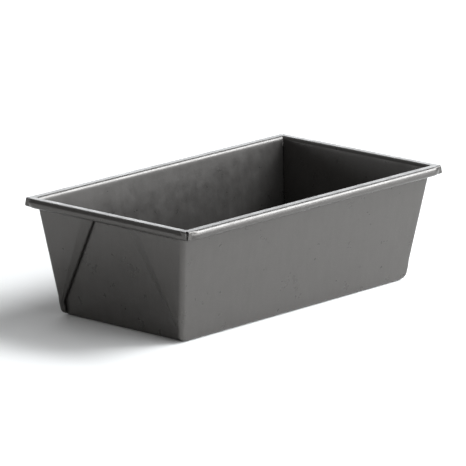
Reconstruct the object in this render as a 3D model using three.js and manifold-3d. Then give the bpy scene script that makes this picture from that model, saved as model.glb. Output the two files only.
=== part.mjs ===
// A one-pound loaf pan: a single coated steel sheet folded up into a tapered tray, with the spare
// metal of each corner folded flat against the end wall as a triangular ear, and the top edge
// turned out and curled round a steel wire. Millimetres, +Z up, origin at the middle of the
// underside; X runs along the loaf.
import * as THREE from 'three';
import { mergeVertices } from 'three/addons/utils/BufferGeometryUtils.js';
import Module from 'manifold-3d';

// Driving dimensions
const OPENING_LENGTH = 214; // between the end walls, inside, carried up to the rim's height
const OPENING_WIDTH = 114; // between the long walls, inside, carried up to the rim's height
const PAN_HEIGHT = 69.85;
const WALL_ANGLE = THREE.MathUtils.degToRad(8.6); // every wall leans out by this much
const SHEET = 0.8; // thickness of the sheet

const BASE_BEND = 2.2; // inside radius between the base and the walls
const CORNER_RADIUS = 4; // outside radius of the upright corners
const CORNER_RADIUS_RIM = 1.2; // the same above the ears, where the flanges are mitred
const INSIDE_CORNER_RIM = 0.4; // inside radius of that mitred corner
const CURL_CORNER = 0.25; // the curls meet almost sharp

const FLANGE_BEND = 1.6; // outside radius between the wall and the flange
const FLANGE_REACH = 4.3; // from the wall's outer line out to the middle of the wire
const WIRE_DIAMETER = 3.6;
const WIRE_CLEARANCE = 0.15; // all round, between the wire and the curl
const WIRE_BEND = 7.5; // radius of the wire's own corners, along its middle
const WIRE_BUTT = 1; // gap between the wire's two ends
const CURL_ANGLE = THREE.MathUtils.degToRad(247.5); // how far the sheet goes round the wire
const PINCH = 2.1; // how far the curl is pressed in at each mitre
const NOTCH_WIDTH = 1.1; // mouth of the open joint between two curls
const NOTCH_DEPTH = 4.5;
const NOTCH_END = 0.12; // its width at the other end
const NOTCH_ROOF = 1.25 * SHEET; // how far the joint's unbroken top reaches down
const NOTCH_OVERRUN = 0.5; // past the curl, so that the joint is open all the way

const EAR_ANGLE = THREE.MathUtils.degToRad(35.8); // between the upright corner and the crease
const EAR_APEX = 3.3; // height at which the crease, carried down, would meet the corner
const EAR_TURN_MIN = 2.2; // outside radius of the corner's turn at the foot of an ear
const EAR_DROP = 5.55; // from the rim's top down to the ears' tops, under the curl
const EAR_BOTTOM = 5.5; // where the folds open out of the knuckle
const EAR_GAP = 0.2; // between the end wall and the layer folded on it
const EAR_STAND_TOP = 2.8; // how far an ear stands off the end wall at the corner
const EAR_STAND_BOTTOM = 3.1;
const CREASE_STAND_TOP = 2; // the same at the crease, which is pressed flatter
const CREASE_STAND_BOTTOM = 2.8;
const RIDGE_SETBACK = 0.19; // share of the ear between its ridge and its crease
const FOLD_SLIT = 0.15; // between a fold and the sheet that wraps it
const KNUCKLE_DROP = 3.6; // how far the rounded knuckle reaches below the folds
const KNUCKLE_NEAR = 0.3; // depth in the sheet at which the knuckle's skin ends
const KNUCKLE_FAR = 0.65; // depth in the sheet of the knuckle's hidden back
const KNUCKLE_SHARE = 0.995; // the knuckle's first loop lies this near to the ear's own skin
const CUT_MARGIN = 0.6; // past the corner's round, in the opening that takes the fold
const FOLD_RUN = 1; // how far the fold's two ends run on into the walls

// Facets
const BEND_STEPS = 4;
const CURL_STEPS = 11;
const CORNER_STEPS = 4;
const ROLL_STEPS = 6;
const FOLD_STEPS = 5;
const WIRE_SIDES = 12;
const WIRE_CORNER_STEPS = 6;
const EAR_LEVELS = 7;
const KNUCKLE_LEVELS = 4;
const PINCH_STATIONS = [2, 3.6, 5.2, 7, 9.5]; // distances from a mitre at which the curl is drawn

// What follows from them
const SLOPE = Math.tan(WALL_ANGLE);
const LEVEL_SHEET = SHEET / Math.cos(WALL_ANGLE); // a wall's thickness, measured level
const HALF_LENGTH = OPENING_LENGTH / 2 + LEVEL_SHEET; // the walls' outer lines at the rim's height
const HALF_WIDTH = OPENING_WIDTH / 2 + LEVEL_SHEET;
const WIRE_RADIUS = WIRE_DIAMETER / 2;
const CURL_INNER = WIRE_RADIUS + WIRE_CLEARANCE;
const CURL_OUTER = CURL_INNER + SHEET;
const WIRE_HEIGHT = PAN_HEIGHT - CURL_OUTER;
const EAR_TOP = PAN_HEIGHT - EAR_DROP;
const QUARTER = Math.PI / 2;

const wasm = await Module();
wasm.setup();

const lerp = THREE.MathUtils.lerp;
const wallOffset = (z) => -(PAN_HEIGHT - z) * SLOPE;
const range = (count) => Array.from({ length: count + 1 }, (_, i) => i / count);

// ---- lofts and booleans ----

function toGeometry(vertices, triangles) {
  const geometry = new THREE.BufferGeometry();
  const positions = vertices.flatMap((v) => v.toArray());
  geometry.setAttribute('position', new THREE.Float32BufferAttribute(positions, 3));
  geometry.setIndex(triangles.flat());
  return geometry;
}

function signedVolume(vertices, triangles) {
  const area = (t) => new THREE.Vector3().crossVectors(vertices[t[1]], vertices[t[2]]);
  const volume = (t) => vertices[t[0]].dot(area(t)) / 6;
  return triangles.reduce((sum, t) => sum + volume(t), 0);
}

// A closed body through a stack of loops that all have the same number of points. Each cap is the
// triangles that close the first or the last loop.
function loft(loops, firstCap, lastCap = firstCap) {
  const count = loops[0].length;
  const vertices = loops.flat();
  const triangles = [];
  for (let j = 0; j < loops.length - 1; j++) {
    for (let i = 0; i < count; i++) {
      const a = j * count + i;
      const b = j * count + ((i + 1) % count);
      triangles.push([a, b, b + count], [a, b + count, a + count]);
    }
  }
  const last = (loops.length - 1) * count;
  for (const [a, b, c] of firstCap) triangles.push([c, b, a]);
  for (const [a, b, c] of lastCap) triangles.push([last + a, last + b, last + c]);
  if (signedVolume(vertices, triangles) < 0) triangles.forEach((t) => t.reverse());
  return toGeometry(vertices, triangles);
}

// The triangles that fill one level loop, turned the same way as the loop itself.
function outlineCap(loop) {
  const contour = loop.map((p) => new THREE.Vector2(p.x, p.y));
  const triangles = THREE.ShapeUtils.triangulateShape(contour, []);
  const turned = THREE.ShapeUtils.isClockWise(contour);
  return turned ? triangles.map(([a, b, c]) => [c, b, a]) : triangles;
}

// The cap of a ribbon whose loop runs along one side and back along the other.
function ribbonCap(steps) {
  const count = 2 * steps;
  const triangles = [];
  for (let i = 0; i < steps - 1; i++) {
    triangles.push([i, i + 1, count - 2 - i], [i, count - 2 - i, count - 1 - i]);
  }
  return triangles;
}

function toSolid(geometry) {
  const bare = geometry.index ? geometry.toNonIndexed() : geometry.clone();
  bare.deleteAttribute('normal');
  bare.deleteAttribute('uv');
  const merged = mergeVertices(bare, 1e-5);
  return new wasm.Manifold(new wasm.Mesh({
    numProp: 3,
    vertProperties: merged.attributes.position.array,
    triVerts: new Uint32Array(merged.index.array),
  }));
}

function fromSolid(solid) {
  const mesh = solid.getMesh();
  const geometry = new THREE.BufferGeometry();
  const positions = new Float32Array(mesh.vertProperties);
  geometry.setAttribute('position', new THREE.BufferAttribute(positions, 3));
  geometry.setIndex(new THREE.BufferAttribute(new Uint32Array(mesh.triVerts), 1));
  return geometry;
}

// ---- the tray and its rim ----

// Profile points are { o, z, r, squeeze, tuck }: o is the distance outside the walls' outer line
// at the rim's height and r the outline's corner radius there. squeeze is how much of the shift at
// a mitre the point takes. tuck goes from 0 outside the wire, where the curl is pressed in, to 1
// under it, from where the sheet stays with the wire as that turns.
const profilePoint = (o, z, r, squeeze = 0, tuck = 0) => ({ o, z, r, squeeze, tuck });

function arcProfile(centreO, centreZ, radius, from, to, steps, r) {
  return range(steps).map((t) => {
    const angle = lerp(from, to, t);
    return profilePoint(centreO + radius * Math.cos(angle), centreZ + radius * Math.sin(angle), r);
  });
}

function curlProfile(radius, from, to) {
  return range(CURL_STEPS).map((t) => {
    const angle = lerp(from, to, t);
    const out = Math.cos(angle);
    const o = FLANGE_REACH + radius * out;
    const z = WIRE_HEIGHT + radius * Math.sin(angle);
    const squeeze = angle > 0 ? out : 1;
    const tuck = THREE.MathUtils.clamp(-angle / QUARTER, 0, 1);
    return profilePoint(o, z, CURL_CORNER, squeeze, tuck);
  });
}

function trayProfile() {
  const outerBend = BASE_BEND + SHEET;
  const bendO = wallOffset(outerBend) - outerBend / Math.cos(WALL_ANGLE);
  const flangeInner = FLANGE_BEND + SHEET;
  const flangeZ = PAN_HEIGHT - flangeInner;
  const flangeO = wallOffset(flangeZ) + FLANGE_BEND / Math.cos(WALL_ANGLE);
  const insideRadius = CORNER_RADIUS - LEVEL_SHEET;
  const wallPoint = (z, inwards, r) => profilePoint(wallOffset(z) - inwards, z, r);
  const curlEnd = QUARTER - CURL_ANGLE;
  const upright = Math.PI - WALL_ANGLE;
  const baseArc = (radius, from, to, r) =>
    arcProfile(bendO, outerBend, radius, from, to, BEND_STEPS, r);
  const flangeArc = (radius, from, to, steps, r) =>
    arcProfile(flangeO, flangeZ, radius, from, to, steps, r);
  return [
    ...baseArc(outerBend, -QUARTER, -WALL_ANGLE, CORNER_RADIUS),
    wallPoint(EAR_BOTTOM + SHEET, 0, CORNER_RADIUS),
    wallPoint(EAR_TOP - SHEET, 0, CORNER_RADIUS_RIM),
    ...flangeArc(FLANGE_BEND, upright, QUARTER, BEND_STEPS, CORNER_RADIUS_RIM),
    ...curlProfile(CURL_INNER, QUARTER, curlEnd),
    ...curlProfile(CURL_OUTER, curlEnd, QUARTER),
    ...flangeArc(flangeInner, QUARTER, upright, BEND_STEPS + 1, INSIDE_CORNER_RIM),
    wallPoint(EAR_TOP - SHEET, LEVEL_SHEET, INSIDE_CORNER_RIM),
    wallPoint(EAR_BOTTOM + SHEET, LEVEL_SHEET, insideRadius),
    ...baseArc(BASE_BEND, -WALL_ANGLE, -QUARTER, insideRadius),
  ];
}

// How far a line rounded with this radius has left the straight side, at s from the sharp corner.
function roundedShift(radius, s) {
  const atMitre = radius * (1 - Math.SQRT1_2);
  if (s >= radius) return 0;
  const left = Math.min(radius, radius - s);
  return Math.min(atMitre, radius - Math.sqrt(radius ** 2 - left ** 2));
}

// The curl follows the wire as it leaves the straight on its way round the corner.
// fromWire is the distance along the side to the sharp corner of the wire's middle line.
function pinched(point, fromWire) {
  const press = Math.min(PINCH, roundedShift(WIRE_BEND + WIRE_RADIUS, fromWire + WIRE_RADIUS));
  const follow = roundedShift(WIRE_BEND, fromWire);
  return point.o - lerp(press, follow, point.tuck) * point.squeeze;
}

function cornerPoints(point) {
  const mitre = pinched(point, 0);
  const centreX = HALF_LENGTH + mitre - point.r;
  const centreY = HALF_WIDTH + mitre - point.r;
  const side = (s) => pinched(point, FLANGE_REACH - mitre + point.r + s);
  const before = [...PINCH_STATIONS].reverse();
  return [
    ...before.map((s) => [HALF_LENGTH + side(s), centreY - s]),
    ...range(CORNER_STEPS).map((t) => [
      centreX + point.r * Math.cos(t * QUARTER),
      centreY + point.r * Math.sin(t * QUARTER),
    ]),
    ...PINCH_STATIONS.map((s) => [centreX - s, HALF_WIDTH + side(s)]),
  ];
}

function outline(point) {
  const corner = cornerPoints(point);
  const back = [...corner].reverse();
  return [
    ...corner,
    ...back.map(([x, y]) => [-x, y]),
    ...corner.map(([x, y]) => [-x, -y]),
    ...back.map(([x, y]) => [x, -y]),
  ].map(([x, y]) => new THREE.Vector3(x, y, point.z));
}

function trayGeometry() {
  const loops = trayProfile().map(outline);
  return loft(loops, outlineCap(loops[0]));
}

// ---- the folded corners ----

// A corner's own plane has u along the end wall from the long wall's outer face, and v out of the
// end wall from its outer face. signs picks one of the four corners.
function cornerToPan(u, v, z, signs) {
  const x = HALF_LENGTH + wallOffset(z) + v;
  const y = HALF_WIDTH + wallOffset(z) - u;
  return new THREE.Vector3(signs[0] * x, signs[1] * y, z);
}

function earSizes(z) {
  const t = z / PAN_HEIGHT;
  const stand = lerp(EAR_STAND_BOTTOM, EAR_STAND_TOP, t);
  const creaseStand = lerp(CREASE_STAND_BOTTOM, CREASE_STAND_TOP, t);
  const reach = (z - EAR_APEX) * Math.tan(EAR_ANGLE);
  const rollRadius = (creaseStand - LEVEL_SHEET - EAR_GAP) / 2;
  const rollCentre = Math.max(reach - rollRadius - LEVEL_SHEET / 2, EAR_TURN_MIN + SHEET / 2);
  const turnRadius = Math.min(CORNER_RADIUS, rollCentre - SHEET / 2);
  // The end wall's fold nests inside the sheet that comes round the corner.
  const foldOuter = LEVEL_SHEET + EAR_GAP / 2;
  const room = turnRadius - LEVEL_SHEET - FOLD_SLIT - foldOuter;
  const height = Math.max(EAR_GAP / 2 - (stand - turnRadius), 0);
  const nest = turnRadius - Math.sqrt(Math.max(room ** 2 - height ** 2, 0));
  const foldCentre = Math.max(nest, LEVEL_SHEET + FOLD_SLIT + foldOuter);
  return { stand, creaseStand, rollRadius, rollCentre, turnRadius, foldCentre };
}

const CUT_SIZE = CORNER_RADIUS + CUT_MARGIN;
const TONGUE = CUT_SIZE + FOLD_RUN;

// The sheet's middle line round one ear, from the long wall to the end wall, with the direction
// of the side that starts as the outer one.
function earPath(z) {
  const { stand, creaseStand, rollRadius, rollCentre, turnRadius, foldCentre } = earSizes(z);
  const half = LEVEL_SHEET / 2;
  const step = (u, v, nu, nv) => ({ u, v, nu, nv });
  const arc = (centre, radius, from, to, steps, side) => range(steps).map((t) => {
    const c = Math.cos(lerp(from, to, t));
    const s = Math.sin(lerp(from, to, t));
    return step(centre[0] + radius * c, centre[1] + radius * s, side * c, side * s);
  });
  const turn = [turnRadius, stand - turnRadius];
  const ridge = lerp(rollCentre, turnRadius, RIDGE_SETBACK);
  const roll = [rollCentre, (creaseStand + EAR_GAP) / 2];
  const fold = [foldCentre, EAR_GAP / 2];
  const foldRadius = (EAR_GAP + LEVEL_SHEET) / 2;
  return [
    step(half, -TONGUE, -1, 0),
    ...arc(turn, turnRadius - half, Math.PI, QUARTER, CORNER_STEPS, 1),
    step(ridge, stand - half, 0, 1),
    ...arc(roll, rollRadius, QUARTER, -QUARTER, ROLL_STEPS, 1),
    ...arc(fold, foldRadius, QUARTER, 3 * QUARTER, FOLD_STEPS, -1),
    step(TONGUE, -half, 0, 1),
  ];
}

function earGeometry(signs) {
  const half = LEVEL_SHEET / 2;
  const levels = range(EAR_LEVELS).map((t) => lerp(EAR_BOTTOM - SHEET / 2, EAR_TOP, t));
  const loops = levels.map((z) => {
    const path = earPath(z);
    const side = (p, d) => cornerToPan(p.u + d * half * p.nu, p.v + d * half * p.nv, z, signs);
    return [...path.map((p) => side(p, 1)), ...path.map((p) => side(p, -1)).reverse()];
  });
  return loft(loops, ribbonCap(loops[0].length / 2));
}

// The rounded end of an ear, where the layers are pressed into one at the base corner. Its skin
// shrinks from the ear's own outline back into the thickness of the tray's corner.
function knuckleGeometry(signs) {
  const { stand, creaseStand, rollRadius, rollCentre, turnRadius } = earSizes(EAR_BOTTOM);
  const rollOuter = rollRadius + LEVEL_SHEET / 2;
  const turn = range(CORNER_STEPS).map((t) => lerp(Math.PI, QUARTER, t));
  const roll = range(ROLL_STEPS).map((t) => lerp(QUARTER, -QUARTER, t));
  const skin = [
    ...turn.map((a) => [turnRadius * (1 + Math.cos(a)), stand + turnRadius * (Math.sin(a) - 1)]),
    ...roll.map((a) => [
      rollCentre + rollOuter * Math.cos(a),
      (creaseStand + EAR_GAP) / 2 + rollOuter * Math.sin(a),
    ]),
  ];
  // A line inside the sheet, at the given depth from its outer face, facing each point of the skin.
  const core = (depth) => {
    const radius = CORNER_RADIUS - depth;
    return [
      ...turn.map((a) => [
        CORNER_RADIUS + radius * Math.cos(a),
        radius * Math.sin(a) - CORNER_RADIUS,
      ]),
      ...roll.map((_, i) => [CORNER_RADIUS + (rollOuter * (i + 1)) / ROLL_STEPS, -depth]),
    ];
  };
  const near = core(KNUCKLE_NEAR);
  const far = core(KNUCKLE_FAR);
  const back = [far[far.length - 1], ...far.slice(0, CORNER_STEPS + 1).reverse()];
  const loops = range(KNUCKLE_LEVELS).map((t) => {
    const z = EAR_BOTTOM + SHEET / 2 - (KNUCKLE_DROP + SHEET / 2) * Math.sin(t * QUARTER);
    const share = KNUCKLE_SHARE * Math.cos(t * QUARTER);
    const shrunk = skin.map(([u, v], i) => [
      lerp(near[i][0], u, share),
      lerp(near[i][1], v, share),
    ]);
    return [...shrunk, ...back].map(([u, v]) => cornerToPan(u, v, z, signs));
  });
  return loft(loops, outlineCap(loops[0]), outlineCap(loops[KNUCKLE_LEVELS]));
}

// The upright corner of the tray between the knuckle and the ear's top, which the fold replaces.
function cornerCutGeometry(signs) {
  const clear = -CUT_MARGIN;
  const square = [
    [clear, -CUT_SIZE],
    [clear, CUT_MARGIN],
    [CUT_SIZE, CUT_MARGIN],
    [CUT_SIZE, -CUT_SIZE],
  ];
  const level = (z) => square.map(([u, v]) => cornerToPan(u, v, z, signs));
  const loops = [EAR_BOTTOM, EAR_TOP].map(level);
  return loft(loops, [[0, 1, 2], [0, 2, 3]]);
}

// The open joint between two curls, which narrows towards the pan under an unbroken top.
function notchGeometry(signs) {
  const tip = FLANGE_REACH + CURL_OUTER - PINCH + NOTCH_OVERRUN;
  const corner = (depth, across) => [
    HALF_LENGTH + tip - (depth + across) * Math.SQRT1_2,
    HALF_WIDTH + tip - (depth - across) * Math.SQRT1_2,
  ];
  const half = NOTCH_WIDTH / 2;
  const wedge = [
    corner(0, half),
    corner(0, -half),
    corner(NOTCH_DEPTH, -NOTCH_END / 2),
    corner(NOTCH_DEPTH, NOTCH_END / 2),
  ];
  const level = (z) => wedge.map(([x, y]) => new THREE.Vector3(signs[0] * x, signs[1] * y, z));
  const heights = [WIRE_HEIGHT - CURL_OUTER - NOTCH_OVERRUN, PAN_HEIGHT - NOTCH_ROOF];
  const loops = heights.map(level);
  return loft(loops, [[0, 1, 2], [0, 2, 3]]);
}

// ---- the wire ----

function wireGeometry() {
  const halfX = HALF_LENGTH + FLANGE_REACH;
  const halfY = HALF_WIDTH + FLANGE_REACH;
  const gap = WIRE_BUTT / 2;
  const bend = (sx, sy, from) => range(WIRE_CORNER_STEPS).map((t) => {
    const angle = from + t * QUARTER;
    return {
      x: sx * (halfX - WIRE_BEND) + WIRE_BEND * Math.cos(angle),
      y: sy * (halfY - WIRE_BEND) + WIRE_BEND * Math.sin(angle),
      angle,
    };
  });
  const stations = [
    { x: -gap, y: halfY, angle: QUARTER },
    ...bend(-1, 1, QUARTER),
    ...bend(-1, -1, 2 * QUARTER),
    ...bend(1, -1, 3 * QUARTER),
    ...bend(1, 1, 4 * QUARTER),
    { x: gap, y: halfY, angle: 5 * QUARTER },
  ];
  const turns = range(WIRE_SIDES).slice(0, -1);
  const section = (at) => turns.map((t) => {
    const out = WIRE_RADIUS * Math.cos(4 * QUARTER * t);
    const up = WIRE_RADIUS * Math.sin(4 * QUARTER * t);
    const x = at.x + out * Math.cos(at.angle);
    const y = at.y + out * Math.sin(at.angle);
    return new THREE.Vector3(x, y, WIRE_HEIGHT + up);
  });
  const loops = stations.map(section);
  const fan = turns.slice(2).map((_, i) => [0, i + 1, i + 2]);
  return loft(loops, fan);
}

// ---- the assembly ----

const coatedSteel = new THREE.MeshStandardMaterial({
  color: 0x5c5b59,
  roughness: 0.42,
  metalness: 0.55,
});
const wireSteel = new THREE.MeshStandardMaterial({
  color: 0xa9aaac,
  roughness: 0.35,
  metalness: 1,
});

function panShell() {
  const corners = [[1, 1], [-1, 1], [-1, -1], [1, -1]];
  let solid = toSolid(trayGeometry());
  for (const signs of corners) {
    solid = solid.subtract(toSolid(cornerCutGeometry(signs)));
    solid = solid.subtract(toSolid(notchGeometry(signs)));
    solid = solid.add(toSolid(earGeometry(signs)));
    solid = solid.add(toSolid(knuckleGeometry(signs)));
  }
  const mesh = new THREE.Mesh(fromSolid(solid), coatedSteel);
  mesh.name = 'pan_shell';
  return mesh;
}

function rimWire() {
  const mesh = new THREE.Mesh(wireGeometry(), wireSteel);
  mesh.name = 'rim_wire';
  return mesh;
}

const loafPan = new THREE.Group();
loafPan.add(panShell(), rimWire());

export default loafPan;
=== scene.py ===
"""A one-pound loaf pan of folded, non-stick coated steel: its shapes, materials, light and camera.

The pan is one steel sheet. Its middle surface is drawn row by row from the base up to the curled
lip, with the spare metal of each corner folded back over the end wall, and is then given the
sheet's thickness. Lengths are in metres, +Z is up, and the origin is the middle of the underside.
"""

import logging
import math
from collections.abc import Iterable, Sequence
from dataclasses import dataclass, field
from enum import Enum

import bmesh
import bpy
from mathutils import Matrix, Vector


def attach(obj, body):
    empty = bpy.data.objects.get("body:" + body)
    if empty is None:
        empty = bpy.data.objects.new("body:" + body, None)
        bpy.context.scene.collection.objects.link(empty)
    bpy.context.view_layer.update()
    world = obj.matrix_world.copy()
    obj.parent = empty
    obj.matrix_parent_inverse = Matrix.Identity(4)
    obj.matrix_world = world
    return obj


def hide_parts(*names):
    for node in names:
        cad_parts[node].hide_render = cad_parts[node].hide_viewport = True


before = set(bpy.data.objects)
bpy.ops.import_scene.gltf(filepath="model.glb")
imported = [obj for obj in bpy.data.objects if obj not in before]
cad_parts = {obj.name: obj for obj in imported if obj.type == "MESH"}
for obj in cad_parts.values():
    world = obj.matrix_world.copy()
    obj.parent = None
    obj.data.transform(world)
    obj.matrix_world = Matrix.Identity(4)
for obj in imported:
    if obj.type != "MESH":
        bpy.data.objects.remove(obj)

log = logging.getLogger("loaf_pan")

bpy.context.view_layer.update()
MM = 0.001
QUARTER = math.pi / 2
MITRE_SHARE = math.sqrt(0.5)  # sine and cosine of the mitre's 45 degrees
ON_PLANE = 1e-6  # a point this close to a plane lies on it
SAME_POINT = 1e-7  # points this close are one point


def mix(start: float, end: float, share: float) -> float:
    """Returns the value that lies this share of the way from start to end."""
    return start + (end - start) * share


def shares(count: int) -> list[float]:
    """Returns count + 1 evenly spaced shares from 0 to 1."""
    return [i / count for i in range(count + 1)]


def arc(
    centre: tuple[float, float], radius: float, start: float, end: float, steps: int
) -> list[tuple[float, float]]:
    """Lists the steps + 1 points of a bend round its centre, from the angle start to the angle end."""
    turns = [mix(start, end, t) for t in shares(steps)]
    return [(centre[0] + radius * math.cos(a), centre[1] + radius * math.sin(a)) for a in turns]


# ---- sizes ----


@dataclass(frozen=True)
class PanSizes:
    """The pan's real sizes in metres.

    They are the CAD model's, apart from tighter bends at the foot, ears that reach a little lower
    and are flatter at the crease, and blunter ends and a wider notch at the mitres.
    """

    opening_length: float = 0.214
    opening_width: float = 0.114
    height: float = 0.06985
    wall_angle: float = math.radians(8.6)
    sheet: float = 0.0008
    base_bend: float = 0.0013
    corner_radius: float = 0.0031
    corner_radius_rim: float = 0.0012
    curl_corner: float = 0.00025  # along the middle of the sheet, at the mitre
    flange_bend: float = 0.0016
    flange_reach: float = 0.0043  # from a wall's outer line to the wire's middle
    wire_diameter: float = 0.0036
    wire_clearance: float = 0.00015
    wire_bend: float = 0.0075
    wire_butt: float = 0.001
    curl_angle: float = math.radians(247.5)
    blunt_reach: float = 0.0009  # how far the curl's ends reach past the wire's middle line
    lip_ease: float = 1.04  # a little more than the wire asks for, so that the lip clears it
    tuck_start: float = math.radians(40)  # how far below level the curl's ends start to draw in
    tuck_run: float = math.radians(56)
    notch_width: float = 0.0026
    notch_foot: float = 0.15  # the notch's width at the bottom of the curl, as a share of its top
    notch_depth: float = 0.0045
    notch_fade: float = 0.0034  # how far along a side the sheet is drawn back from the notch
    notch_end: float = 0.00012  # a notch narrower than this is closed
    notch_overrun: float = 0.0005
    ear_angle: float = math.radians(35.8)  # between the crease and an upright line
    ear_apex: float = 0.0033  # height at which the crease's line meets the corner
    ear_turn_min: float = 0.0022
    ear_drop: float = 0.00555  # from the rim's top down to the ears' tops
    ear_bottom: float = 0.0036
    ear_gap: float = 0.0002  # between the fold's layers
    ear_stand_top: float = 0.0028
    ear_stand_bottom: float = 0.0031
    crease_stand_top: float = 0.0018
    crease_stand_bottom: float = 0.0026
    ridge_setback: float = 0.19  # from the crease's roll to the ridge, as a share of the ear's face
    ridge_lead: float = 0.93  # share of the flat face before the ridge at which its bend starts
    ridge_drop: float = 0.04  # share of the slope to the crease that the ridge has gone down
    ridge_slope: float = 0.14  # share of that slope at which the ridge's bend ends
    fold_slit: float = 0.00015  # between the nested fold and the corner's own turn
    knuckle_drop: float = 0.0026  # from the ears' feet down to the plain corner

    @property
    def level_sheet(self) -> float:
        """A wall's thickness, measured level."""
        return self.sheet / math.cos(self.wall_angle)

    @property
    def half_length(self) -> float:
        """From the middle to an end wall's outer line, at the rim's height."""
        return self.opening_length / 2 + self.level_sheet

    @property
    def half_width(self) -> float:
        """From the middle to a long wall's outer line, at the rim's height."""
        return self.opening_width / 2 + self.level_sheet

    @property
    def curl_radius(self) -> float:
        """Radius of the curl along the middle of the sheet."""
        return self.wire_diameter / 2 + self.wire_clearance + self.sheet / 2

    @property
    def wire_height(self) -> float:
        """Height of the wire's middle."""
        return self.height - self.curl_radius - self.sheet / 2

    @property
    def ear_top(self) -> float:
        """Height at which the ears end, under the curl."""
        return self.height - self.ear_drop

    def wall_line(self, z: float) -> float:
        """Returns how far outside its place at the rim a wall's outer face is at height z."""
        return -(self.height - z) * math.tan(self.wall_angle)


@dataclass(frozen=True)
class EarSection:
    """One level cut through a corner fold, along the middle of the sheet."""

    sizes: PanSizes
    z: float

    @property
    def stand(self) -> float:
        """How far the ear stands off the end wall at the corner."""
        s = self.sizes
        return mix(s.ear_stand_bottom, s.ear_stand_top, self.z / s.height)

    @property
    def crease_stand(self) -> float:
        """How far the ear stands off the end wall at its crease."""
        s = self.sizes
        return mix(s.crease_stand_bottom, s.crease_stand_top, self.z / s.height)

    @property
    def roll_radius(self) -> float:
        """Radius of the sheet's middle line as it rolls back at the crease."""
        return (self.crease_stand - self.sizes.level_sheet - self.sizes.ear_gap) / 2

    @property
    def roll_centre(self) -> float:
        """Places that roll, which moves out from the corner with height.

        Returns:
            The distance of the roll's middle from the corner.
        """
        s = self.sizes
        reach = (self.z - s.ear_apex) * math.tan(s.ear_angle)
        return max(reach - self.roll_radius - s.level_sheet / 2, s.ear_turn_min + s.sheet / 2)

    @property
    def turn_radius(self) -> float:
        """Outside radius of the corner's own turn, which tightens at the ear's foot."""
        return min(self.sizes.corner_radius, self.roll_centre - self.sizes.sheet / 2)

    @property
    def fold_centre(self) -> float:
        """Places the tight fold that nests inside the corner's own turn.

        Returns:
            The distance of the fold's middle from the corner.
        """
        s = self.sizes
        outer = s.level_sheet + s.ear_gap / 2
        room = self.turn_radius - s.level_sheet - s.fold_slit - outer
        height = max(s.ear_gap / 2 - (self.stand - self.turn_radius), 0)
        nest = self.turn_radius - math.sqrt(max(room**2 - height**2, 0))
        return max(nest, s.level_sheet + s.fold_slit + outer)

    def points(self, plan: "GridPlan") -> list[tuple[float, float]]:
        """Lists the fold's points from the long wall to the end wall.

        Args:
            plan: How finely each bend is drawn.

        Returns:
            Pairs (u, v): u along the end wall from the long wall's face, v out of the end wall.
        """
        s = self.sizes
        half = s.level_sheet / 2

        def sloped(u: float, share: float) -> tuple[float, float]:
            """Gives the point at u, this share of the way down from the ridge to the crease."""
            return (u, mix(self.stand, self.crease_stand, share) - half)

        turn_middle = (self.turn_radius, self.stand - self.turn_radius)
        turn = arc(turn_middle, self.turn_radius - half, math.pi, QUARTER, plan.turn_steps)
        roll_middle = (self.roll_centre, (self.crease_stand + s.ear_gap) / 2)
        roll = arc(roll_middle, self.roll_radius, QUARTER, -QUARTER, plan.roll_steps)
        fold_middle = (self.fold_centre, s.ear_gap / 2)
        fold = arc(fold_middle, (s.ear_gap + s.level_sheet) / 2, QUARTER, 3 * QUARTER, plan.fold_steps)
        ridge = mix(self.roll_centre, self.turn_radius, s.ridge_setback)
        face = [
            sloped(mix(turn[-1][0], ridge, s.ridge_lead), 0.0),
            sloped(ridge, s.ridge_drop),
            sloped(mix(ridge, self.roll_centre, s.ridge_slope), s.ridge_slope),
        ]
        return [*turn, *face, *roll, *fold]


@dataclass(frozen=True)
class GridPlan:
    """How finely the sheet is drawn."""

    turn_steps: int = 10
    roll_steps: int = 12
    fold_steps: int = 12
    mitre_steps: int = 4
    bend_steps: int = 12
    curl_steps: int = 48
    flange: tuple[float, ...] = (0.3, 0.5, 0.65, 0.8)  # shares of its width
    near_mm: tuple[float, ...] = (0, 0.4, 0.8, 1.3, 1.9, 2.6, 3.4, 4.3, 5.3, 6.4, 7.6, 9, 11, 14)
    far: tuple[float, ...] = (0.1, 0.24, 0.42, 0.6, 0.8, 1.0)  # shares of the wall that is left
    end_lead: tuple[float, ...] = (0.0, 0.33, 0.66, 1.0)  # shares of the end side's extra stretch
    knuckle_levels_mm: tuple[float, ...] = (2.1, 2.35, 2.6, 2.85, 3.1, 3.4, 3.7, 4.0, 4.4)
    ear_levels: int = 16

    def offsets(self) -> list[float]:
        """Returns the distances from a corner at which the walls near it are drawn."""
        return [d * MM for d in self.near_mm]


# ---- materials ----


def linear(code: str) -> tuple[float, float, float, float]:
    """Turns an sRGB hex code into the linear colour that shaders use.

    Args:
        code: Six hex digits after a "#".

    Returns:
        Linear red, green, blue and an alpha of 1.
    """
    parts = [int(code[i : i + 2], 16) / 255 for i in (1, 3, 5)]
    values = [c / 12.92 if c <= 0.04045 else ((c + 0.055) / 1.055) ** 2.4 for c in parts]
    return (values[0], values[1], values[2], 1.0)


def add_node(
    tree: bpy.types.NodeTree, kind: str, settings: dict | None = None, **inputs: object
) -> bpy.types.Node:
    """Adds one node to a material.

    Args:
        tree: The material's node tree.
        kind: The node's type name, such as "ShaderNodeTexNoise".
        settings: The node's own properties.
        inputs: Values or output sockets for its inputs, by name with "_" for each space.

    Returns:
        The new node.
    """
    node = tree.nodes.new(kind)
    for name, value in (settings or {}).items():
        setattr(node, name, value)
    for name, value in inputs.items():
        wanted = name.replace("_", " ")
        socket = next(s for s in node.inputs if s.name == wanted and s.enabled)
        if isinstance(value, bpy.types.NodeSocket):
            tree.links.new(value, socket)
        else:
            socket.default_value = value
    return node


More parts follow.
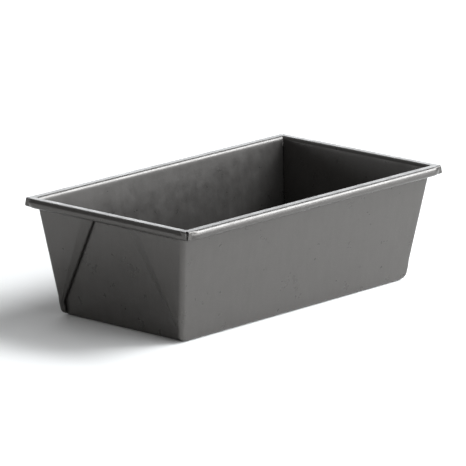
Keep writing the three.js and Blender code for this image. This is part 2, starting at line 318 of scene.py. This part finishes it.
def scale_for(spacing_mm: float) -> float:
    """Returns the texture scale at which a pattern repeats about every spacing_mm on the object."""
    return 1 / (spacing_mm * MM)


def noise(
    tree: bpy.types.NodeTree,
    place: bpy.types.NodeSocket,
    spacing_mm: float,
    detail: float,
    roughness: float = 0.5,
) -> bpy.types.NodeSocket:
    """Adds a noise pattern.

    Args:
        tree: The material's node tree.
        place: Where on the object each point is.
        spacing_mm: The pattern's real spacing.
        detail: How many finer layers it has.
        roughness: How strong those layers are.

    Returns:
        The pattern's value, from 0 to 1.
    """
    scale = scale_for(spacing_mm)
    pattern = add_node(
        tree, "ShaderNodeTexNoise", Vector=place, Scale=scale, Detail=detail, Roughness=roughness
    )
    return pattern.outputs["Fac"]


def tint(
    tree: bpy.types.NodeTree, share: bpy.types.NodeSocket, start: object, end: object
) -> bpy.types.NodeSocket:
    """Adds a node that mixes two colours by a share, and returns the socket of the mixed colour."""
    mixed = add_node(tree, "ShaderNodeMix", {"data_type": "RGBA"}, Factor=share, A=start, B=end)
    return next(s for s in mixed.outputs if s.enabled)


def blank_material(name: str) -> tuple[bpy.types.Material, bpy.types.NodeTree, bpy.types.Node]:
    """Makes a material with one principled shader and its output.

    Args:
        name: The material's name.

    Returns:
        The material, its node tree and the shader node.
    """
    material = bpy.data.materials.new(name)
    material.use_nodes = True
    tree = material.node_tree
    tree.nodes.clear()
    shader = add_node(tree, "ShaderNodeBsdfPrincipled")
    output = add_node(tree, "ShaderNodeOutputMaterial")
    tree.links.new(shader.outputs["BSDF"], output.inputs["Surface"])
    return material, tree, shader


@dataclass(frozen=True)
class NonstickCoating:
    """Grey silicone and PTFE bakeware coating, roller-coated on the sheet before it was folded.

    It reads as a dark neutral grey with a soft gloss: the film follows the steel's rolling grain, so
    it has faint upright streaks, a fine orange peel, a cloudiness a few millimetres across and
    slightly uneven gloss.
    """

    dark: str = "#4a4846"
    pale: str = "#575553"
    fleck: str = "#767573"
    roughness: tuple[float, float] = (0.26, 0.38)
    metallic: float = 0.6
    cloud_mm: float = 9.0
    cloud_share: float = 0.4  # the streaks have the rest
    streak_mm: float = 3.2
    streak_stretch: float = 9.0  # how many times longer a streak is than it is wide
    peel_mm: float = 1.1
    peel_height_mm: float = 0.012
    fleck_mm: float = 0.9  # the real flecks are finer; this is as small as shows
    fleck_core: float = 0.05
    fleck_edge: float = 0.28
    fleck_strength: float = 0.35
    waviness_mm: float = 28.0
    waviness_height_mm: float = 0.06

    def build(self) -> bpy.types.Material:
        """Builds the coating's material.

        Returns:
            The material.
        """
        material, tree, shader = blank_material("nonstick_coated_steel")
        place = add_node(tree, "ShaderNodeTexCoord").outputs["Object"]
        along = add_node(tree, "ShaderNodeMapping", Vector=place, Scale=(1, 1, 1 / self.streak_stretch))
        cloud = noise(tree, place, self.cloud_mm, detail=5.0, roughness=0.6)
        streak = noise(tree, along.outputs["Vector"], self.streak_mm, detail=3.0)
        peel = noise(tree, place, self.peel_mm, detail=2.0)
        wave = noise(tree, place, self.waviness_mm, detail=1.0, roughness=0.4)
        uneven = add_node(tree, "ShaderNodeMix", Factor=self.cloud_share, A=streak, B=cloud)
        film = tint(tree, uneven.outputs["Result"], linear(self.dark), linear(self.pale))
        fleck_scale = scale_for(self.fleck_mm)
        cells = add_node(tree, "ShaderNodeTexVoronoi", Vector=place, Scale=fleck_scale, Randomness=1.0)
        speck = add_node(
            tree,
            "ShaderNodeMapRange",
            Value=cells.outputs["Distance"],
            From_Min=self.fleck_core,
            From_Max=self.fleck_edge,
            To_Min=self.fleck_strength,
            To_Max=0.0,
        )
        low, high = self.roughness
        gloss = add_node(
            tree, "ShaderNodeMapRange", Value=cloud, From_Min=0.3, From_Max=0.7, To_Min=low, To_Max=high
        )
        swell = self.waviness_height_mm * MM
        soft = add_node(tree, "ShaderNodeBump", Height=wave, Strength=0.5, Distance=swell)
        grit = self.peel_height_mm * MM
        under = soft.outputs["Normal"]
        fine = add_node(tree, "ShaderNodeBump", Height=peel, Strength=0.6, Distance=grit, Normal=under)
        colour = tint(tree, speck.outputs["Result"], film, linear(self.fleck))
        tree.links.new(colour, shader.inputs["Base Color"])
        tree.links.new(gloss.outputs["Result"], shader.inputs["Roughness"])
        tree.links.new(fine.outputs["Normal"], shader.inputs["Normal"])
        shader.inputs["Metallic"].default_value = self.metallic
        shader.inputs["IOR"].default_value = 1.5
        return material


@dataclass(frozen=True)
class DrawnWire:
    """Bright low-carbon steel wire, drawn through a die.

    It reads as mid-grey metal with fine streaks along its length and a slightly dull surface.
    """

    dark: str = "#8d8d8c"
    pale: str = "#b4b4b3"
    roughness: tuple[float, float] = (0.28, 0.45)
    streak_mm: float = 0.5

    def build(self) -> bpy.types.Material:
        """Builds the wire's material.

        Returns:
            The material.
        """
        material, tree, shader = blank_material("drawn_steel_wire")
        place = add_node(tree, "ShaderNodeTexCoord").outputs["Object"]
        streak = noise(tree, place, self.streak_mm, detail=3.0)
        low, high = self.roughness
        gloss = add_node(tree, "ShaderNodeMapRange", Value=streak, To_Min=low, To_Max=high)
        colour = tint(tree, streak, linear(self.dark), linear(self.pale))
        tree.links.new(colour, shader.inputs["Base Color"])
        tree.links.new(gloss.outputs["Result"], shader.inputs["Roughness"])
        shader.inputs["Metallic"].default_value = 1.0
        return material


@dataclass(frozen=True)
class PaleSweep:
    """Matt white studio paper, which gives an even pale floor with soft shadows."""

    colour: str = "#f4f4f3"
    fibre_mm: float = 3.0
    fibre_height_mm: float = 0.02

    def build(self) -> bpy.types.Material:
        """Builds the floor's material.

        Returns:
            The material.
        """
        material, tree, shader = blank_material("white_studio_paper")
        place = add_node(tree, "ShaderNodeTexCoord").outputs["Object"]
        fibre = noise(tree, place, self.fibre_mm, detail=2.0)
        relief = self.fibre_height_mm * MM
        grain = add_node(tree, "ShaderNodeBump", Height=fibre, Strength=0.1, Distance=relief)
        tree.links.new(grain.outputs["Normal"], shader.inputs["Normal"])
        shader.inputs["Base Color"].default_value = linear(self.colour)
        shader.inputs["Roughness"].default_value = 0.9
        shader.inputs["Specular IOR Level"].default_value = 0.1
        return material


# ---- mesh helpers ----


def make_piece(name: str, bm: bmesh.types.BMesh, material: bpy.types.Material) -> bpy.types.Object:
    """Turns a bmesh into an object at the origin with one material and smooth faces.

    Args:
        name: The piece's name.
        bm: The mesh; it is freed.
        material: The piece's material.

    Returns:
        The new object.
    """
    mesh = bpy.data.meshes.new(name)
    bm.to_mesh(mesh)
    bm.free()
    mesh.materials.append(material)
    mesh.shade_smooth()
    piece = bpy.data.objects.new(name, mesh)
    bpy.context.scene.collection.objects.link(piece)
    return piece


def apply_modifiers(piece: bpy.types.Object) -> None:
    """Makes the result of a piece's modifiers its mesh.

    Args:
        piece: The piece, which loses its modifiers.
    """
    ready = piece.evaluated_get(bpy.context.evaluated_depsgraph_get())
    mesh = bpy.data.meshes.new_from_object(ready)
    piece.modifiers.clear()
    piece.data = mesh


def start_row(bm: bmesh.types.BMesh, points: Sequence[Vector]) -> list[bmesh.types.BMVert]:
    """Draws the first row of a sheet: its points, joined one to the next.

    Args:
        bm: The mesh to draw in.
        points: The row's points in order.

    Returns:
        The row's vertices in order.
    """
    row = [bm.verts.new(p) for p in points]
    for a, b in zip(row, row[1:]):
        bm.edges.new((a, b))
    return row


def extrude_row(
    bm: bmesh.types.BMesh,
    row: list[bmesh.types.BMVert],
    points: Sequence[Vector],
    gaps: Iterable[int] = (),
) -> list[bmesh.types.BMVert]:
    """Extrudes a sheet's last row to the next one.

    Args:
        bm: The mesh to draw in.
        row: The last row's vertices in order.
        points: Where the new row's points go.
        gaps: Steps along the row whose faces are left open.

    Returns:
        The new row's vertices in order.
    """
    edges = [bm.edges.get((a, b)) for a, b in zip(row, row[1:])]
    made = bmesh.ops.extrude_edge_only(bm, edges=edges)["geom"]
    fresh = {v for v in made if isinstance(v, bmesh.types.BMVert)}
    following = []
    for vert in row:
        across = (edge.other_vert(vert) for edge in vert.link_edges)
        following.append(next(other for other in across if other in fresh))
    for vert, point in zip(following, points):
        vert.co = point
    for step in gaps:
        low = bm.edges.get((row[step], row[step + 1]))
        high = bm.edges.get((following[step], following[step + 1]))
        shared = [f for f in low.link_faces if f in set(high.link_faces)]
        bmesh.ops.delete(bm, geom=shared, context="FACES_ONLY")
    return following


# ---- the pan's sheet ----


class Mitre(Enum):
    """Whether the sheet is joined or notched open where two sides of the rim meet."""

    JOINED = "joined"
    OPEN = "open"


@dataclass
class PanShell:
    """The coated sheet: base, walls, folded corner ears and curled rim, all in one piece."""

    sizes: PanSizes = field(default_factory=PanSizes)
    plan: GridPlan = field(default_factory=GridPlan)
    coating: NonstickCoating = field(default_factory=NonstickCoating)
    seam_reach: float = 0.06 * MM  # how far apart the tray's and the collar's edges may be
    sharp_angle: float = math.radians(48)

    # -- the tray, from the base up to the ears' tops --

    def knuckle_share(self, z: float) -> float:
        """Gives the corner fold's share in a level's corner.

        Args:
            z: The level.

        Returns:
            From 0 near the base, where the corner is plain, to 1 where the fold is whole.
        """
        s = self.sizes
        top = s.ear_bottom + s.sheet / 2
        drop = s.knuckle_drop + s.sheet / 2
        below = (top - z) / drop
        if below <= 0:
            return 1.0
        return math.sqrt(max(0.0, 1 - below**2))

    def plain_corner(self, count: int) -> list[tuple[float, float]]:
        """Spreads the fold's points evenly along the plain round corner under it.

        Args:
            count: How many points the fold has.

        Returns:
            Pairs (u, v) from the long wall to the end wall.
        """
        radius = self.sizes.corner_radius
        middle = radius - self.sizes.level_sheet / 2
        return arc((radius, -radius), middle, math.pi, QUARTER, count - 1)

    def straight_run(self) -> float:
        """Measures the flat stretch from an ear's corner turn to where the rim's own corner starts.

        Returns:
            The stretch's length along the long wall.
        """
        s = self.sizes
        top = EarSection(s, s.ear_top)
        rim_corner = s.corner_radius_rim - s.sheet / 2 + s.level_sheet / 2
        return top.stand - top.turn_radius + rim_corner

    def tray_row(self, z: float, inwards: float = 0.0) -> list[Vector]:
        """Lists one level of a quarter of the tray, from the long wall's middle to the end wall's.

        Args:
            z: The level.
            inwards: How far the base bend has drawn the sheet in from the walls' own slope.

        Returns:
            The level's points on the middle of the sheet.
        """
        s = self.sizes
        fold = EarSection(s, z).points(self.plan)
        plain = self.plain_corner(len(fold))
        share = self.knuckle_share(z)
        corner = [(mix(p[0], f[0], share), mix(p[1], f[1], share)) for p, f in zip(plain, fold)]
        x_line = s.half_length + s.wall_line(z) - inwards
        y_line = s.half_width + s.wall_line(z) - inwards
        offsets = self.plan.offsets()
        run = self.straight_run()
        before = [(corner[0][0], corner[0][1] - run - d) for d in offsets]
        after = [(corner[-1][0] + d, corner[-1][1]) for d in offsets[1:]]
        last_v = before[-1][1]
        last_u = after[-1][0]
        before += [(corner[0][0], mix(last_v, -x_line, t)) for t in self.plan.far]
        after += [(mix(last_u, y_line, t), corner[-1][1]) for t in self.plan.far]
        path = [*reversed(before), *corner, *after]
        return [Vector((x_line + v, y_line - u, z)) for u, v in path]

    def tray_rows(self) -> list[list[Vector]]:
        """Lists the tray's levels.

        Returns:
            The rows from the base's edge up to the ears' tops.
        """
        s = self.sizes
        radius = s.base_bend + s.sheet / 2
        centre_z = s.base_bend + s.sheet
        centre_in = centre_z / math.cos(s.wall_angle)
        rows = []
        for t in shares(self.plan.bend_steps):
            angle = mix(-QUARTER, -s.wall_angle, t)
            z = centre_z + radius * math.sin(angle)
            line = s.wall_line(centre_z) - centre_in + radius * math.cos(angle)
            rows.append(self.tray_row(z, s.wall_line(z) - s.level_sheet / 2 - line))
        levels = [z * MM for z in self.plan.knuckle_levels_mm]
        first = levels[-1]
        top = s.ear_top
        levels += [mix(first, top - s.sheet / 4, t) for t in shares(self.plan.ear_levels)[1:]] + [top]
        return rows + [self.tray_row(z) for z in levels]

    # -- the collar, from the ears' tops through the flange to the curl's lip --

    def rounded_shift(self, radius: float, distance: float) -> float:
        """Measures how far a rounded corner has left the straight side.

        Args:
            radius: The corner's radius.
            distance: The distance along the side from the sharp corner.

        Returns:
            The corner's shift off the side, which stops growing at the mitre.
        """
        at_mitre = radius * (1 - MITRE_SHARE)
        if distance >= radius:
            return 0.0
        left = min(radius, radius - distance)
        return min(at_mitre, radius - math.sqrt(radius**2 - left**2))

    def follow_wire(self, reach: float, press: float, tuck: float, from_wire: float) -> float:
        """Draws a point of the curl in towards the pan where the wire turns the corner.

        Args:
            reach: The point's distance outside the walls' line on the straight.
            press: How far the point is pressed in at the mitre, which leaves the curl's end blunt.
            tuck: From 0 to 1, how far the point is round to the lip, which lies behind the wire.
            from_wire: The distance along the side from the wire's sharp corner.

        Returns:
            The point's distance outside the walls' line.
        """
        s = self.sizes
        wire = s.wire_diameter / 2
        pressed = min(press, self.rounded_shift(s.wire_bend + wire, from_wire + wire))
        return reach - pressed - tuck * s.lip_ease * self.rounded_shift(s.wire_bend, from_wire)

    def collar_row(
        self,
        reach: float,
        z: float,
        radius: float,
        press: float = 0.0,
        tuck: float = 0.0,
        opening: float = 0.0,
    ) -> list[Vector]:
        """Lists one row of a quarter of the collar, from the long wall's middle to the end wall's.

        Args:
            reach: The row's distance outside the walls' outer line at the rim's height.
            z: The row's height.
            radius: The corner's radius along the middle of the sheet.
            press: See follow_wire.
            tuck: See follow_wire.
            opening: How far each curl's end is cut back from the mitre.

        Returns:
            The row's points on the middle of the sheet.
        """
        s = self.sizes
        mitre = self.follow_wire(reach, press, tuck, 0.0)
        centre_x = s.half_length + mitre - radius
        centre_y = s.half_width + mitre - radius

        def side(distance: float) -> float:
            """Gives the row's reach at a distance along the side from the corner's round."""
            return self.follow_wire(reach, press, tuck, s.flange_reach - mitre + radius + distance)

        def cut(distance: float) -> float:
            """Moves a place along the side back from the mitre, less and less away from it."""
            return distance + opening * max(0.0, 1 - distance / s.notch_fade) ** 2

        offsets = self.plan.offsets()
        lead = EarSection(s, s.ear_top).fold_centre - s.corner_radius_rim
        end_offsets = [lead * t for t in self.plan.end_lead] + [lead + d for d in offsets[1:]]
        long_side = [Vector((centre_x - cut(d), s.half_width + side(cut(d)), z)) for d in offsets]
        end_side = [Vector((s.half_length + side(cut(d)), centre_y - cut(d), z)) for d in end_offsets]
        long_last = long_side[-1].x
        end_last = end_side[-1].y
        long_side += [Vector((mix(long_last, 0.0, t), s.half_width + reach, z)) for t in self.plan.far]
        end_side += [Vector((s.half_length + reach, mix(end_last, 0.0, t), z)) for t in self.plan.far]
        bend = arc((centre_x, centre_y), radius, QUARTER, 0.0, self.plan.mitre_steps)
        corner = [Vector((x, y, z)) for x, y in bend[1:-1]]
        return [*reversed(long_side), *corner, *end_side]

    def notched_row(
        self, reach: float, z: float, press: float = 0.0, tuck: float = 0.0
    ) -> tuple[list[Vector], Mitre]:
        """Lists one row of the flange or curl, cut back where the V notch crosses it.

        Args:
            reach: The row's distance outside the walls' outer line at the rim's height.
            z: The row's height.
            press: See follow_wire.
            tuck: See follow_wire.

        Returns:
            The row's points, and the state of its mitre.
        """
        s = self.sizes
        tip = s.flange_reach + s.blunt_reach + s.sheet / 2 + s.notch_overrun
        depth = (tip - self.follow_wire(reach, press, tuck, 0.0)) / MITRE_SHARE
        rise = (z - s.wire_height + s.curl_radius) / (2 * s.curl_radius)
        width = s.notch_width * max(0.0, 1 - depth / s.notch_depth) * mix(s.notch_foot, 1.0, rise)
        opening = max(0.0, width * MITRE_SHARE - s.curl_corner)
        mitre = Mitre.OPEN if width > s.notch_end else Mitre.JOINED
        return self.collar_row(reach, z, s.curl_corner, press, tuck, opening), mitre

    def collar_rows(self) -> list[tuple[list[Vector], Mitre]]:
        """Lists the collar's rows.

        Returns:
            The rows from the ears' tops to the lip, each with the state of its mitre.
        """
        s = self.sizes
        corner = s.corner_radius_rim - s.sheet / 2
        half = s.level_sheet / 2
        bend = s.flange_bend + s.sheet / 2
        bend_z = s.height - s.flange_bend - s.sheet
        bend_out = s.wall_line(bend_z) + s.flange_bend / math.cos(s.wall_angle)
        low = bend_z + bend * math.sin(s.wall_angle)
        below = [(s.wall_line(z) - half, z) for z in (s.ear_top, mix(s.ear_top, low, 0.5))]
        turn = arc((bend_out, bend_z), bend, math.pi - s.wall_angle, QUARTER, self.plan.bend_steps)
        rows = [(self.collar_row(reach, z, corner), Mitre.JOINED) for reach, z in below + turn]
        for t in self.plan.flange:
            rows.append(self.notched_row(mix(bend_out, s.flange_reach, t), s.height - s.sheet / 2))
        for t in shares(self.plan.curl_steps):
            angle = QUARTER - s.curl_angle * t
            out = s.curl_radius * math.cos(angle)
            z = s.wire_height + s.curl_radius * math.sin(angle)
            press = max(0.0, out - s.blunt_reach)
            tuck = min(1.0, max(0.0, (-angle - s.tuck_start) / s.tuck_run))
            rows.append(self.notched_row(s.flange_reach + out, z, press, tuck))
        return rows

    # -- the whole sheet --

    def draw_quarter(self, bm: bmesh.types.BMesh) -> None:
        """Draws one quarter of the sheet's middle surface: the tray with its ear, then the collar.

        Args:
            bm: The mesh to draw in.
        """
        rows = self.tray_rows()
        row = start_row(bm, rows[0])
        for points in rows[1:]:
            row = extrude_row(bm, row, points)
        collar = self.collar_rows()
        corner = len(self.plan.offsets()) + len(self.plan.far) - 1
        notch = range(corner, corner + self.plan.mitre_steps)
        points, last = collar[0]
        row = start_row(bm, points)
        for points, mitre in collar[1:]:
            row = extrude_row(bm, row, points, notch if mitre is last is Mitre.OPEN else ())
            last = mitre
        seam = [v for v in bm.verts if abs(v.co.z - self.sizes.ear_top) < ON_PLANE]
        bmesh.ops.remove_doubles(bm, verts=seam, dist=self.seam_reach)

    def draw_sheet(self) -> bmesh.types.BMesh:
        """Draws the whole middle surface.

        Returns:
            The finished bmesh, closed at the base and open at the edges of the sheet.
        """
        bm = bmesh.new()
        self.draw_quarter(bm)
        unturned = Matrix.Identity(4)
        for axis in ("X", "Y"):
            half = bm.verts[:] + bm.edges[:] + bm.faces[:]
            bmesh.ops.mirror(bm, geom=half, matrix=unturned, merge_dist=ON_PLANE, axis=axis)
        bmesh.ops.remove_doubles(bm, verts=bm.verts[:], dist=SAME_POINT)
        loose = [e for e in bm.edges if not e.link_faces]
        bmesh.ops.delete(bm, geom=loose, context="EDGES")
        base = self.sizes.sheet / 2 + ON_PLANE
        hem = [e for e in bm.edges if e.is_boundary and all(v.co.z < base for v in e.verts)]
        bmesh.ops.contextual_create(bm, geom=hem)
        bmesh.ops.recalc_face_normals(bm, faces=bm.faces[:])
        return bm

    def build(self) -> bpy.types.Object:
        """Builds the sheet, gives it its thickness and coats it.

        Returns:
            The finished piece, which stands for the CAD node pan_shell.
        """
        piece = make_piece("pan_sheet", self.draw_sheet(), self.coating.build())
        thick = piece.modifiers.new("sheet_thickness", "SOLIDIFY")
        thick.thickness = self.sizes.sheet
        thick.offset = 0.0
        thick.use_even_offset = False
        thick.use_quality_normals = True
        apply_modifiers(piece)
        piece.data.set_sharp_from_angle(angle=self.sharp_angle)
        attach(piece, "root")
        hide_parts("pan_shell")
        return piece


# ---- the rim's wire ----


@dataclass
class RimWire:
    """The steel wire inside the curl, bent to a frame with its two ends butted together."""

    sizes: PanSizes = field(default_factory=PanSizes)
    finish: DrawnWire = field(default_factory=DrawnWire)
    sides: int = 24
    bend_steps: int = 14
    sharp_angle: float = math.radians(40)

    def pull(
        self, bm: bmesh.types.BMesh, end: list[bmesh.types.BMEdge], step: Vector
    ) -> list[bmesh.types.BMEdge]:
        """Draws a straight length of wire out of its open end.

        Args:
            bm: The mesh to draw in.
            end: The open end's edges.
            step: How far and which way the end moves.

        Returns:
            The new open end's edges.
        """
        made = bmesh.ops.extrude_edge_only(bm, edges=end)["geom"]
        bmesh.ops.translate(bm, vec=step, verts=[g for g in made if isinstance(g, bmesh.types.BMVert)])
        return [g for g in made if isinstance(g, bmesh.types.BMEdge) and g.is_boundary]

    def bend(
        self, bm: bmesh.types.BMesh, end: list[bmesh.types.BMEdge], centre: Vector
    ) -> list[bmesh.types.BMEdge]:
        """Bends the wire round one corner.

        Args:
            bm: The mesh to draw in.
            end: The open end's edges.
            centre: The middle of the bend.

        Returns:
            The new open end's edges.
        """
        made = bmesh.ops.spin(
            bm, geom=end, cent=centre, axis=(0, 0, 1), angle=QUARTER, steps=self.bend_steps
        )
        return [g for g in made["geom_last"] if isinstance(g, bmesh.types.BMEdge)]

    def build(self) -> bpy.types.Object:
        """Builds the wire and gives it its finish.

        Returns:
            The finished piece, which stands for the CAD node rim_wire.
        """
        s = self.sizes
        x = s.half_length + s.flange_reach
        y = s.half_width + s.flange_reach
        start = Vector((-s.wire_butt / 2, y, s.wire_height))
        turned = Matrix.Translation(start) @ Matrix.Rotation(QUARTER, 4, "Y")
        bm = bmesh.new()
        bmesh.ops.create_circle(bm, radius=s.wire_diameter / 2, segments=self.sides, matrix=turned)
        end = bm.edges[:]
        bend_x = x - s.wire_bend
        bend_y = y - s.wire_bend
        first = bend_x - s.wire_butt / 2
        runs = [
            (Vector((-first, 0, 0)), Vector((-bend_x, bend_y, s.wire_height))),
            (Vector((0, -2 * bend_y, 0)), Vector((-bend_x, -bend_y, s.wire_height))),
            (Vector((2 * bend_x, 0, 0)), Vector((bend_x, -bend_y, s.wire_height))),
            (Vector((0, 2 * bend_y, 0)), Vector((bend_x, bend_y, s.wire_height))),
        ]
        for step, centre in runs:
            end = self.pull(bm, end, step)
            end = self.bend(bm, end, centre)
        self.pull(bm, end, Vector((-first, 0, 0)))
        bmesh.ops.holes_fill(bm, edges=[e for e in bm.edges if e.is_boundary], sides=0)
        bmesh.ops.recalc_face_normals(bm, faces=bm.faces[:])
        piece = make_piece("rim_wire_drawn", bm, self.finish.build())
        piece.data.set_sharp_from_angle(angle=self.sharp_angle)
        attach(piece, "root")
        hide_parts("rim_wire")
        return piece


# ---- the studio ----


@dataclass(frozen=True)
class Softbox:
    """One large soft light that points at the pan."""

    name: str
    place: tuple[float, float, float]
    size: tuple[float, float]
    watts: float
    daylight: tuple[float, float, float] = (0.95, 0.975, 1.0)
    aim_height: float = 0.03

    def build(self) -> bpy.types.Object:
        """Hangs the light and turns it to the pan.

        Returns:
            The light's object.
        """
        lamp = bpy.data.lights.new(self.name, "AREA")
        lamp.shape = "RECTANGLE"
        lamp.size, lamp.size_y = self.size
        lamp.energy = self.watts
        lamp.color = self.daylight
        holder = bpy.data.objects.new(self.name, lamp)
        place = Vector(self.place)
        aim = Vector((0, 0, self.aim_height)) - place
        turn = aim.to_track_quat("-Z", "Y").to_matrix().to_4x4()
        holder.matrix_world = Matrix.Translation(place) @ turn
        holder.visible_camera = False
        bpy.context.scene.collection.objects.link(holder)
        return holder


@dataclass
class Studio:
    """The pale floor, the soft lights and the camera."""

    paper: PaleSweep = field(default_factory=PaleSweep)
    floor_size: float = 14.0
    floor_cells: int = 8
    floor_gap: float = 0.2 * MM
    sky: float = 0.24
    azimuth: float = math.radians(-48.497)
    elevation: float = math.radians(13.9)
    roll: float = math.radians(0.207)
    distance: float = 3.1372
    sensor_mm: float = 36.0
    focal_share: float = 11.47425  # the focal length over the sensor's width
    view_limit: float = 50.0
    aim_right: float = -0.00185
    aim_height: float = 0.03855
    lights: tuple[Softbox, ...] = (
        Softbox("key", (1.4, -0.7, 1.45), (1.5, 1.1), 76),
        Softbox("behind", (1.5, 1.4, 0.6), (1.8, 0.7), 12),
        Softbox("far_left", (-1.7, 1.4, 0.25), (1.4, 0.5), 3),
        Softbox("long_side", (0.7, -1.95, 0.7), (2.4, 1.1), 55),
    )

    def build_floor(self) -> bpy.types.Object:
        """Lays the paper that the pan stands on.

        Returns:
            The floor's object.
        """
        bm = bmesh.new()
        cells = self.floor_cells
        bmesh.ops.create_grid(bm, x_segments=cells, y_segments=cells, size=self.floor_size / 2)
        bmesh.ops.translate(bm, vec=(0, 0, -self.floor_gap), verts=bm.verts[:])
        floor = make_piece("floor", bm, self.paper.build())
        return floor

    def build_sky(self) -> None:
        """Makes the room's even white surroundings."""
        world = bpy.data.worlds.new("soft_room")
        world.use_nodes = True
        ground = world.node_tree.nodes["Background"]
        ground.inputs["Color"].default_value = (1, 1, 1, 1)
        ground.inputs["Strength"].default_value = self.sky
        bpy.context.scene.world = world

    def build_camera(self) -> bpy.types.Object:
        """Sets up the camera and makes it the scene's own.

        Returns:
            The camera's object.
        """
        a, e = self.azimuth, self.elevation
        back = Vector((math.sin(a) * math.cos(e), -math.cos(a) * math.cos(e), math.sin(e)))
        level = Vector((math.cos(a), math.sin(a), 0))
        rise = back.cross(level)
        right = math.cos(self.roll) * level + math.sin(self.roll) * rise
        up = math.cos(self.roll) * rise - math.sin(self.roll) * level
        place = Vector((0, 0, self.aim_height)) + self.aim_right * level + back * self.distance
        data = bpy.data.cameras.new("camera")
        data.sensor_width = self.sensor_mm
        data.lens = self.focal_share * self.sensor_mm
        data.clip_end = self.view_limit
        camera = bpy.data.objects.new("camera", data)
        turn = Matrix((right, up, back)).transposed().to_4x4()
        camera.matrix_world = Matrix.Translation(place) @ turn
        bpy.context.scene.collection.objects.link(camera)
        bpy.context.scene.camera = camera
        return camera

    def build(self) -> None:
        """Builds the floor, surroundings, lights and camera."""
        self.build_camera()
        self.build_floor()
        self.build_sky()
        for light in self.lights:
            light.build()
        bpy.context.scene.view_settings.view_transform = "Standard"


def main() -> None:
    """Builds the studio and the pan, and reports each piece."""
    logging.basicConfig(level=logging.INFO, format="%(name)s: %(message)s")
    sizes = PanSizes()
    Studio().build()
    for part in (PanShell(sizes), RimWire(sizes)):
        piece = part.build()
        piece.data.calc_loop_triangles()
        log.info("%s: %d triangles", piece.name, len(piece.data.loop_triangles))


if __name__ == "__main__":
    main()
